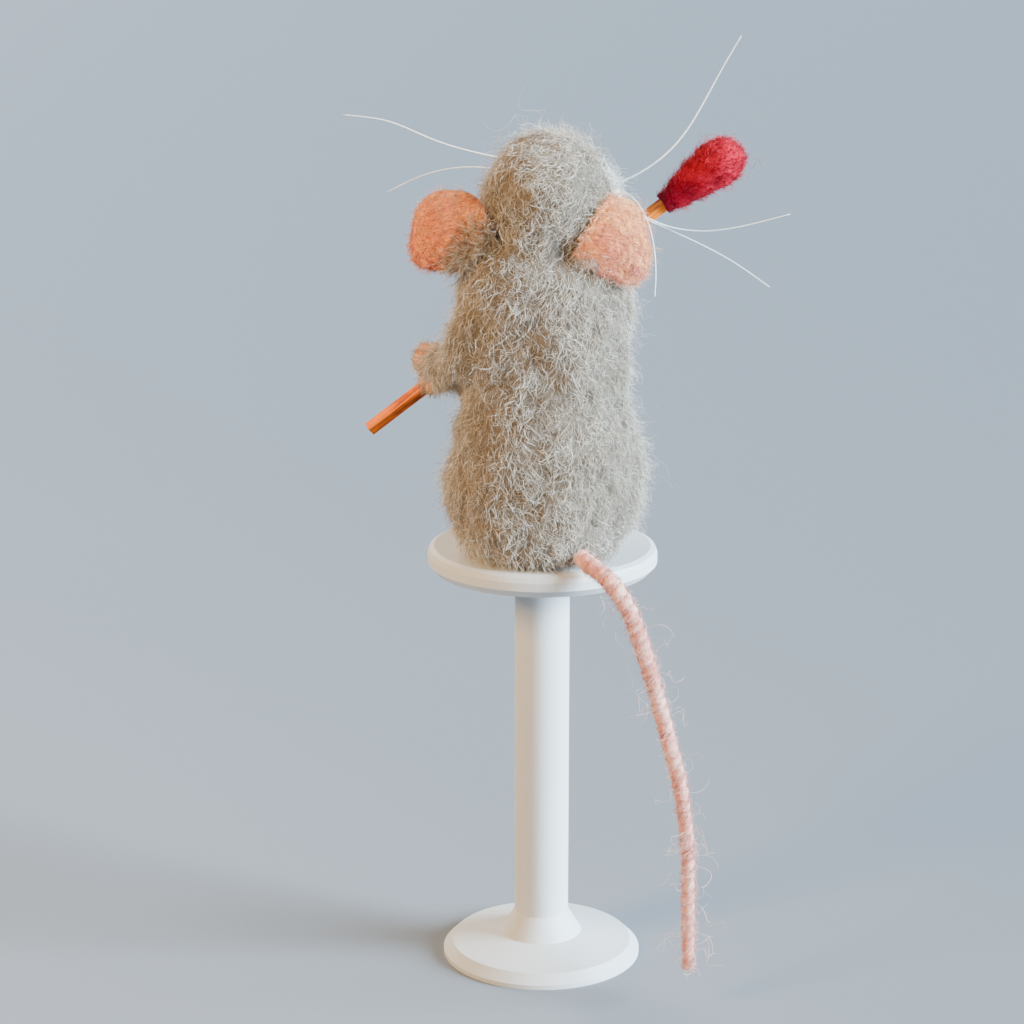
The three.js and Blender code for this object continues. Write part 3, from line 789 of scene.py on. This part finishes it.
def ear_corner(node, pull=0.26):
    """A shaping step that draws an ear's lower outer corner out, as the felt is folded there."""
    middle, half = middle_and_half(node)
    outward = math.copysign(1, middle[0])

    def shaped(places):
        share = (places - middle) / half
        corner = np.clip(-share[:, 2], 0, 1) * np.clip(share[:, 0] * outward, 0, 1)
        moved = places.copy()
        moved[:, 0] += outward * pull * corner * half[0]
        moved[:, 2] -= 0.8 * pull * corner * half[2]
        return moved

    return shaped


EAR_FRINGES = {"left": (4400, 9.5 * MM), "right": (1300, 6.5 * MM)}
CUFFS = {"left": (1900, 8.5 * MM), "right": (1200, 6.5 * MM)}


def ear_tuft(name, node, count, reach, seed):
    """Longer coat fibres on the head that fill the fold where an ear joins it."""
    chance = np.random.default_rng(seed)
    fold = inner_end(node) + np.array((0, 0, 2.5)) * MM

    def weigh(places, normals):
        return np.clip(1.2 - np.linalg.norm(places - fold, axis=1) / reach, 0, 1)

    roots, normals = scatter(coat_skin, count, chance, weigh)
    lay = stroke(normals, fold - roots + np.array((0, 0, -3.0)) * MM, chance.normal(0, 0.6, count))
    tuft = fibres(
        name, FIBRE["coat"], chance, roots, normals, lay,
        (4.6 * MM, 1.0 * MM), (0.046 * MM, 0.01 * MM), (0.5, 1.25), (0.1, 0.6), (0.04, 0.14), (0.3, 0.9),
        tone=coat_tone, points=4,
    )
    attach(tuft, "mouse")


for side, seed in (("left", 201), ("right", 211)):
    ear = f"ear_{side}"
    ear_tuft(f"{ear}_tuft", ear, 1800, 6.5 * MM, seed + 7)
    ear_skin = woolly(
        ear, [ear], f"{side}_ear", "peach", 4200, 1.9 * MM, lambda places: places - HEAD_MIDDLE,
        ear_tone(ear), seed, voxel=0.5 * MM, inset=0.25 * MM, thickness=0.036 * MM, lean=(0.03, 0.32),
        flyaways=160, bumpy=0.08 * MM, rounds=26, shaping=ear_corner(ear))
    coat_over(f"{ear}_root_wool", ear_skin, f"{side}_ear", EAR_FRINGES[side][0], inner_end(ear),
              EAR_FRINGES[side][1], seed + 1)
    paw = f"paw_{side}"
    paw_skin = woolly(
        paw, [paw], "mouse", "peach", 900, 1.3 * MM, steady((0.6, -0.5, 0.4)), mottled(0.42, 0.2),
        seed + 2, voxel=0.45 * MM, inset=0.2 * MM, thickness=0.045 * MM, lean=(0.05, 0.5), flyaways=25)
    middle, half = middle_and_half(paw)
    wrist = middle + np.array((-1.5 * MM if side == "left" else 0, half[1], 0))
    coat_over(f"{paw}_cuff_wool", paw_skin, "mouse", CUFFS[side][0], wrist, CUFFS[side][1], seed + 3,
              length=2.4 * MM)
    foot = f"foot_{side}"
    woolly(foot, [foot], "mouse", "peach", 1000, 1.3 * MM, steady((0, -1, 0.1)), mottled(0.45, 0.2),
           seed + 4, voxel=0.45 * MM, inset=0.2 * MM, thickness=0.042 * MM, lean=(0.04, 0.4), flyaways=20)
woolly("nose", ["nose"], "mouse", "peach", 260, 0.7 * MM, steady((0.5, 0.87, 0)), mottled(0.3, 0.15),
       231, voxel=0.3 * MM, inset=0.1 * MM, thickness=0.04 * MM, lean=(0.04, 0.3), bumpy=0.05 * MM)

# %% [markdown]
# ## The match
# The stick is square pine, dipped in an orange stain that sinks deeper into the soft rings, so the grain
# shows as darker lines. The head is crimson wool wound on and needled into a club.

# %% Stain the stick and felt the head
MATCH_WAY = np.array((-0.789299, 0, 0.614008))


def stained_wood():
    """Orange stain over straight grain that runs with the stick."""
    material, tree, shader = new_material("stained_pine")
    slope = math.atan2(MATCH_WAY[2], -MATCH_WAY[0])
    turned = add_node(tree, "Mapping", Vector=object_place(tree), Rotation=(0, -slope, 0)).outputs["Vector"]
    drawn = add_node(tree, "Mapping", Vector=turned, Scale=(60, 1500, 1500)).outputs["Vector"]
    grain = noise(tree, drawn, 1.2, Detail=5, Distortion=0.4)
    patches = noise(tree, turned, 150, Detail=3)
    stain = add_node(tree, "Mix", Factor=0.45, A=grain, B=patches)
    coloured(tree, shader, stain.outputs["Result"], [
        (0.38, (0.13, 0.022, 0.002)),
        (0.45, (0.42, 0.075, 0.002)),
        (0.51, (0.78, 0.150, 0.001)),
        (0.62, (0.92, 0.250, 0.003)),
    ])
    varied_gloss(tree, shader, grain, 0.75, 0.55)
    bumped(tree, shader, grain, 0.12 * MM)
    shader.inputs["Specular IOR Level"].default_value = 0.25
    return material


def finish_node(node, material):
    """Gives a CAD shape its finish and leaves its mesh alone."""
    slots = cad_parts[node].data.materials
    slots.clear()
    slots.append(material)


finish_node("match_stick", stained_wood())
woolly("match_head", ["match_head"], "match", "crimson", 4400, 1.7 * MM, steady(MATCH_WAY),
       mottled(0.45, 0.24, 2 * MM), 301, voxel=0.45 * MM, inset=0.4 * MM, thickness=0.044 * MM,
       lean=(0.15, 0.95), curl=(0.05, 0.16), flyaways=130, bumpy=0.2 * MM)

# %% [markdown]
# ## The tail
# Pink wool is wound round a wire in a long spiral, and the turns stay visible as soft ridges. The tube is a
# flat grid, rolled round the tail's line, so its rings follow each other without a twist.

# %% Wind the tail
TAIL_LINE = np.array([
    (-6.4, 12.6, 3.6), (-8.4, 16.6, 2.8), (-11.6, 21, 1.4), (-14.3, 23.4, -0.9), (-16.5, 24, -4.4),
    (-18.3, 24, -8.4), (-20.2, 24, -14.2), (-22, 24, -20.2), (-24, 24, -27.4), (-26.1, 24, -35.4),
    (-27.8, 24, -42), (-28.9, 24, -47.6), (-29.6, 24, -53), (-30.2, 24, -59.2), (-30.4, 24, -65.8),
    (-30.5, 24, -72.4), (-30.6, 24, -79), (-30.7, 24, -86.4),
]) * MM
TAIL_JOINTS = (0.16, 0.56)
TAIL_PARTING = 0.38


def smooth_line(points, count, relaxed=0):
    """Evenly spaced points on a smooth curve through the given ones, relaxed some rounds."""
    before = 2 * points[0] - points[1]
    after = 2 * points[-1] - points[-2]
    held = np.vstack([before, points, after])
    dense = []
    for k in range(1, len(held) - 2):
        a, b, c, d = held[k - 1 : k + 3]
        for t in np.linspace(0, 1, 24, endpoint=False):
            dense.append(0.5 * (2 * b + (c - a) * t + (2 * a - 5 * b + 4 * c - d) * t * t
                                + (3 * b - a - 3 * c + d) * t**3))
    dense.append(held[-2])
    dense = np.array(dense)
    walked = np.concatenate([[0], np.cumsum(np.linalg.norm(np.diff(dense, axis=0), axis=1))])
    even = np.linspace(0, walked[-1], count)
    line = np.stack([np.interp(even, walked, dense[:, k]) for k in range(3)], axis=1)
    for _ in range(relaxed):
        line[1:-1] = (line[:-2] + 2 * line[1:-1] + line[2:]) / 4
    return line, walked[-1]


def frames_along(line):
    """Tangent and two cross directions at each point of a line, without a sudden turn."""
    tangent = unit(np.gradient(line, axis=0))
    across = np.zeros_like(line)
    across[0] = unit(np.cross(tangent[0], (0, 1, 0.3)))
    for k in range(1, len(line)):
        across[k] = unit(across[k - 1] - (across[k - 1] @ tangent[k]) * tangent[k])
    return tangent, across, np.cross(tangent, across)


def rolled_tube(name, line, radius, material, around_count=20):
    """A closed tube along a line. `radius` gives its size from the point number and the angle."""
    tangent, across, over = frames_along(line)
    shape = bmesh.new()
    rings = len(line)
    bmesh.ops.create_grid(shape, x_segments=around_count, y_segments=rings - 1, size=0.5)
    for vert in shape.verts:
        turn = 2 * math.pi * (vert.co.x + 0.5)
        ring = round((vert.co.y + 0.5) * (rings - 1))
        size = radius(ring, turn)
        vert.co = line[ring] + size * (math.cos(turn) * across[ring] + math.sin(turn) * over[ring])
    bmesh.ops.remove_doubles(shape, verts=shape.verts, dist=1e-7)
    bmesh.ops.holes_fill(shape, edges=[edge for edge in shape.edges if edge.is_boundary], sides=0)
    bmesh.ops.recalc_face_normals(shape, faces=shape.faces)
    for face in shape.faces:
        face.smooth = len(face.verts) == 4
    piece = as_piece(name, shape, material)
    print(name, len(piece.data.polygons), "faces")
    return piece


TAIL_RINGS = 620
tail_points, tail_length = smooth_line(TAIL_LINE, TAIL_RINGS)
tail_tangent, tail_across, tail_over = frames_along(tail_points)
tail_share = np.linspace(0, 1, TAIL_RINGS)
WIND_PITCH = 2.6 * MM
print("tail length", round(tail_length, 4))


def tail_size(share):
    """Half the tail's thickness: thickest at the root, and rounded off at its very end."""
    size = 1.92 * MM - 0.66 * MM * share
    return size * np.sqrt(np.clip((1.0 - share) * tail_length / (0.9 * MM), 0.02, 1))


tail_lumps = field(tail_points, 7 * MM, 51)


def wound(ring, turn, first):
    """The radius of the wound wool at one place: slanting ridges, each a little uneven."""
    whole = first + ring
    walked = tail_share[whole] * tail_length
    ridge = math.sin(2 * math.pi * walked / WIND_PITCH - turn + 0.7 * tail_lumps[whole])
    fine = math.sin(2 * math.pi * walked / (0.9 * MM) - turn * 2)
    return tail_size(tail_share[whole]) * (0.95 + 0.07 * ridge + 0.018 * fine + 0.03 * tail_lumps[whole])


parting = int(TAIL_PARTING * (TAIL_RINGS - 1))
tail_upper_tube = rolled_tube("tail_wound_upper", tail_points[: parting + 1],
                              lambda ring, turn: wound(ring, turn, 0), SKIN["pink"])
tail_lower_tube = rolled_tube("tail_wound_lower", tail_points[parting:],
                              lambda ring, turn: wound(ring, turn, parting), SKIN["pink"])


def tail_fibres(name, low, high, count, seed, length, thickness, lean, droop, curl, turns, points, paler):
    """Fibres on the tail between two shares of its length, lying with the winding."""
    chance = np.random.default_rng(seed)
    share = chance.uniform(low, high, count)
    turn = chance.uniform(0, 2 * math.pi, count)
    at = share * (TAIL_RINGS - 1)
    pick = np.clip(at.astype(int), 0, TAIL_RINGS - 2)
    part = (at - pick)[:, None]
    middle = tail_points[pick] * (1 - part) + tail_points[pick + 1] * part
    normals = unit(tail_across[pick] * np.cos(turn)[:, None] + tail_over[pick] * np.sin(turn)[:, None])
    round_way = np.cross(tail_tangent[pick], normals)
    roots = middle + normals * (tail_size(share) * 0.93)[:, None]
    lay = stroke(normals, round_way + 0.55 * tail_tangent[pick], chance.normal(0, 0.45, count))
    # Painted shade and light: fibres are coloured darker in the grooves between the turns and lighter on
    # the ridges.
    winding = np.sin(2 * math.pi * share * tail_length / WIND_PITCH - turn)
    tone = 0.46 + 0.13 * winding + 0.07 * field(middle, 5 * MM, 52) + chance.normal(0, 0.12, count) + paler
    return fibres(
        name, FIBRE["pink"], chance, roots, normals, lay, (length, length * 0.3),
        (thickness, thickness * 0.2), lean, droop, curl, turns, tone, points=points, sunk=0.1 * MM,
    )


SHORT = dict(length=1.7 * MM, thickness=0.042 * MM, lean=(0.2, 0.75), droop=(0.2, 0.6), curl=(0.03, 0.1),
             turns=(0.3, 0.9), points=4, paler=0)
FREE = dict(length=6.0 * MM, thickness=0.036 * MM, lean=(0.3, 1.2), droop=(0, 0), curl=(0.10, 0.26),
            turns=(0.6, 1.9), points=12, paler=0.3)
tail_upper_pieces = [
    tail_upper_tube,
    tail_fibres("tail_wool_upper", 0.05, TAIL_PARTING, 2200, 61, **SHORT),
    tail_fibres("tail_flyaways_upper", 0.12, TAIL_PARTING, 26, 62, **FREE),
]
tail_lower_pieces = [
    tail_lower_tube,
    tail_fibres("tail_wool_lower", TAIL_PARTING, 0.995, 3000, 63, **SHORT),
    tail_fibres("tail_flyaways_lower", TAIL_PARTING, 0.99, 70, 64, **FREE),
]


for tail_pieces, bodies, joint, reach in (
    (tail_upper_pieces, ("tail_base", "tail_middle"), TAIL_JOINTS[0], 0.03),
    (tail_lower_pieces, ("tail_middle", "tail_end"), TAIL_JOINTS[1], 0.04),
):
    for piece in tail_pieces:
        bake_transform(piece)
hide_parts("tail_root", "tail_upper")
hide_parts("tail_lower")

# %% [markdown]
# ## Whiskers
# Each whisker is a stiff waxed thread that thins towards its tip and keeps a gentle bow.

# %% Draw the whiskers
WHISKERS = {
    "left_upper": [(-8.5, -18.5, 79.4), (2, -20, 81), (10, -21, 82.2), (21.3, -23, 84.7), (29.6, -24.5, 88),
                   (34, -25.5, 89.8), (43.8, -27.5, 90.6)],
    "left_lower": [(-8, -20, 77), (3, -21.5, 78.6), (12.4, -22.6, 79.8), (17.6, -23.4, 79.9),
                   (23.8, -24.4, 78.8), (29, -25.2, 76.8), (34.2, -26, 74)],
    "right_rising": [(-13.4, -17.4, 76.6), (-17.8, -17, 78.2), (-24.4, -16.4, 82.4), (-29.6, -16, 88),
                     (-33.8, -15.4, 95.4), (-37.4, -14.8, 102.4), (-41, -14, 108.8)],
    "right_drooping": [(-12.6, -18.4, 75.4), (-16.2, -15, 76.2), (-19, -11, 74.6), (-21.4, -8.4, 71),
                       (-22.8, -6.6, 66), (-23.3, -5.4, 60.2), (-23.1, -5, 54.8)],
    "right_level": [(-13, -19.4, 74.8), (-18, -18.6, 71.6), (-21.6, -18.2, 69.8), (-26.6, -18, 67.6),
                    (-34, -17.6, 66.8), (-41.4, -17, 67.8), (-52.4, -16, 70.8)],
    "right_falling": [(-12.6, -20.6, 73.4), (-17, -19.2, 71.4), (-21.6, -18.9, 69.2), (-30, -18, 65.6),
                      (-39.8, -16.8, 60.8), (-48.4, -15.6, 55)],
}
WHISKER_RADIUS = 0.21 * MM
WHISKER_RINGS = 60


def thread_finish():
    """White thread, with a faint wax shine and fine cross ridges from its twist."""
    material, tree, shader = new_material("waxed_thread", 0.4)
    twist = noise(tree, object_place(tree), 1800, Detail=2)
    coloured(tree, shader, twist, [(0.3, (0.70, 0.69, 0.66)), (0.7, (0.92, 0.91, 0.89))])
    bumped(tree, shader, twist, 0.04 * MM)
    return material


def whisker_size(ring, turn):
    """A whisker's radius: half as thick near its tip, and nearly closed at the last ring."""
    last = WHISKER_RINGS - 1
    return WHISKER_RADIUS * (1 - 0.5 * ring / last) * (1 if ring < last else 0.4)


thread = thread_finish()
for name, points in WHISKERS.items():
    line, _ = smooth_line(np.array(points, float) * MM, WHISKER_RINGS, relaxed=24)
    whisker = rolled_tube(f"thread_{name}", line, whisker_size, thread, around_count=8)
    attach(whisker, "mouse")
    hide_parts(f"whisker_{name}")

# %% [markdown]
# ## Eyes and wires
# The eyes are black glass beads. A bead is turned with a small dimple at each end of its thread hole, and
# one dimple faces out. The wires inside the arms and tail are plain steel.

# %% Set the beads and finish the wires
def bead_finish():
    """Black glass, polished, with the faintest cloudiness where fibres have rubbed it."""
    material, tree, shader = new_material("black_glass")
    rubbed = noise(tree, object_place(tree), 700)
    varied_gloss(tree, shader, rubbed, 0.04, 0.2)
    coloured(tree, shader, rubbed, [(0.3, (0.004, 0.004, 0.005)), (0.8, (0.014, 0.011, 0.010))])
    shader.inputs["Coat Weight"].default_value = 0.6
    return material


def steel_finish():
    """Drawn steel wire, with fine scratches."""
    material, tree, shader = new_material("drawn_steel")
    scratches = noise(tree, object_place(tree), 1500, Detail=4)
    coloured(tree, shader, scratches, [(0.3, (0.28, 0.28, 0.29)), (0.7, (0.55, 0.55, 0.56))])
    varied_gloss(tree, shader, scratches, 0.25, 0.5)
    shader.inputs["Metallic"].default_value = 1
    return material


steel = steel_finish()
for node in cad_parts:
    if "wire" in node:
        finish_node(node, steel)

glass = bead_finish()
for side in ("left", "right"):
    low, high = (Vector(corner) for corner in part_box(f"eye_{side}"))
    middle, radius = (low + high) / 2, (high - low)[2] / 2
    shape = bmesh.new()
    bmesh.ops.create_uvsphere(shape, u_segments=40, v_segments=24, radius=radius)
    for vert in shape.verts:
        near = math.hypot(vert.co.x, vert.co.y) / (0.22 * radius)
        vert.co.z *= 0.94 - 0.10 * math.exp(-near * near)
    facing = (middle - Vector(HEAD_MIDDLE)).normalized().to_track_quat("Z", "Y").to_matrix().to_4x4()
    bmesh.ops.transform(shape, matrix=Matrix.Translation(middle) @ facing, verts=shape.verts)
    for face in shape.faces:
        face.smooth = True
    bead = as_piece(f"bead_{side}", shape, glass)
    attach(bead, "mouse")
    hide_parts(f"eye_{side}")

# %% [markdown]
# ## Stand, floor and light
# The tail hangs below the seat, so the mouse sits on a plain pale stand with a slim post. One big cool
# light on the right models the back like a window. A smaller warm one on the left lifts the shadows.

# %% Make the stand, the floor and the lights
STAND_RADIUS = 25 * MM
STAND_MIDDLE = Vector((0.5, -7, 0)) * MM
FLOOR_HEIGHT = cad_low[2] - 8 * MM


def plain_finish(name, colour, roughness=0.8):
    """A plain matt studio surface with a faint tooth."""
    material, tree, shader = new_material(name, roughness)
    shader.inputs["Base Color"].default_value = (*colour, 1)
    bumped(tree, shader, noise(tree, object_place(tree), 300), 0.05 * MM)
    return material


def turned_stand():
    """A disc on a slim post with a foot, spun from its outline."""
    foot = FLOOR_HEIGHT
    outline = [(0, 0), (STAND_RADIUS - 1.5 * MM, 0), (STAND_RADIUS - 0.4 * MM, -0.5 * MM),
               (STAND_RADIUS, -1.6 * MM), (STAND_RADIUS, -3.4 * MM), (STAND_RADIUS - 1.5 * MM, -5 * MM),
               (9 * MM, -6 * MM), (6 * MM, -10 * MM), (6 * MM, foot + 10 * MM), (9 * MM, foot + 5 * MM),
               (20 * MM, foot + 3 * MM), (22 * MM, foot + 1 * MM), (22 * MM, foot), (0, foot)]
    shape = bmesh.new()
    verts = [shape.verts.new((radius, 0, height)) for radius, height in outline]
    edges = [shape.edges.new(pair) for pair in zip(verts, verts[1:])]
    bmesh.ops.spin(shape, geom=verts + edges, cent=(0, 0, 0), axis=(0, 0, 1), angle=2 * math.pi,
                   steps=96, use_merge=True)
    bmesh.ops.remove_doubles(shape, verts=shape.verts, dist=1e-6)
    bmesh.ops.recalc_face_normals(shape, faces=shape.faces)
    bmesh.ops.translate(shape, vec=STAND_MIDDLE, verts=shape.verts)
    return as_piece("stand", shape, plain_finish("stand_finish", (0.50, 0.50, 0.49), 0.6))


def wide_floor():
    """A floor that reaches far past the picture."""
    shape = bmesh.new()
    bmesh.ops.create_circle(shape, cap_ends=True, segments=96, radius=12)
    bmesh.ops.translate(shape, vec=(0, 0, FLOOR_HEIGHT), verts=shape.verts)
    return as_piece("floor", shape, plain_finish("floor_finish", (0.155, 0.170, 0.190)))


for scenery in (turned_stand(), wide_floor()):
    scenery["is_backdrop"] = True


def light(name, kind, place, strength, colour, **settings):
    """A light at a place, turned towards the mouse."""
    lamp = bpy.data.lights.new(name, kind)
    lamp.energy = strength
    lamp.color = colour
    for setting, value in settings.items():
        setattr(lamp, setting, value)
    stand = bpy.data.objects.new(name, lamp)
    bpy.context.scene.collection.objects.link(stand)
    stand.location = Vector(place)
    stand.rotation_mode = "QUATERNION"
    stand.rotation_quaternion = (Vector((0, 0, 40 * MM)) - stand.location).to_track_quat("-Z", "Y")


# A light from far off with a wide angle is broad and even, like a window, and its shadows are soft.
WINDOW_ANGLE = math.radians(32)
light("cool_window", "SUN", (-0.66, 0.18, 0.28), 30.0, (0.62, 0.82, 1.0), angle=WINDOW_ANGLE)
light("warm_lamp", "AREA", (0.48, 0.36, 0.34), 9.0, (1.0, 0.64, 0.28), size=0.22)
light("front_fill", "SUN", (0.30, -0.60, 0.40), 3.2, (1.0, 0.96, 0.91), angle=WINDOW_ANGLE)

world = bpy.data.worlds.new("studio")
bpy.context.scene.world = world
world.use_nodes = True
backdrop = world.node_tree.nodes["Background"]
backdrop.inputs["Color"].default_value = (0.47, 0.535, 0.595, 1)
seen = world.node_tree.nodes.new("ShaderNodeLightPath")
brightness = world.node_tree.nodes.new("ShaderNodeMapRange")
brightness.inputs["To Min"].default_value = 0.42
brightness.inputs["To Max"].default_value = 1.15
world.node_tree.links.new(seen.outputs["Is Camera Ray"], brightness.inputs["Value"])
world.node_tree.links.new(brightness.outputs["Result"], backdrop.inputs["Strength"])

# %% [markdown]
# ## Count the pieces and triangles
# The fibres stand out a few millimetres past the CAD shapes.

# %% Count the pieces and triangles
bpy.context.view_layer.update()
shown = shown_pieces()
for piece in shown:
    piece.data.calc_loop_triangles()
print("pieces", len(shown), "triangles", sum(len(piece.data.loop_triangles) for piece in shown))
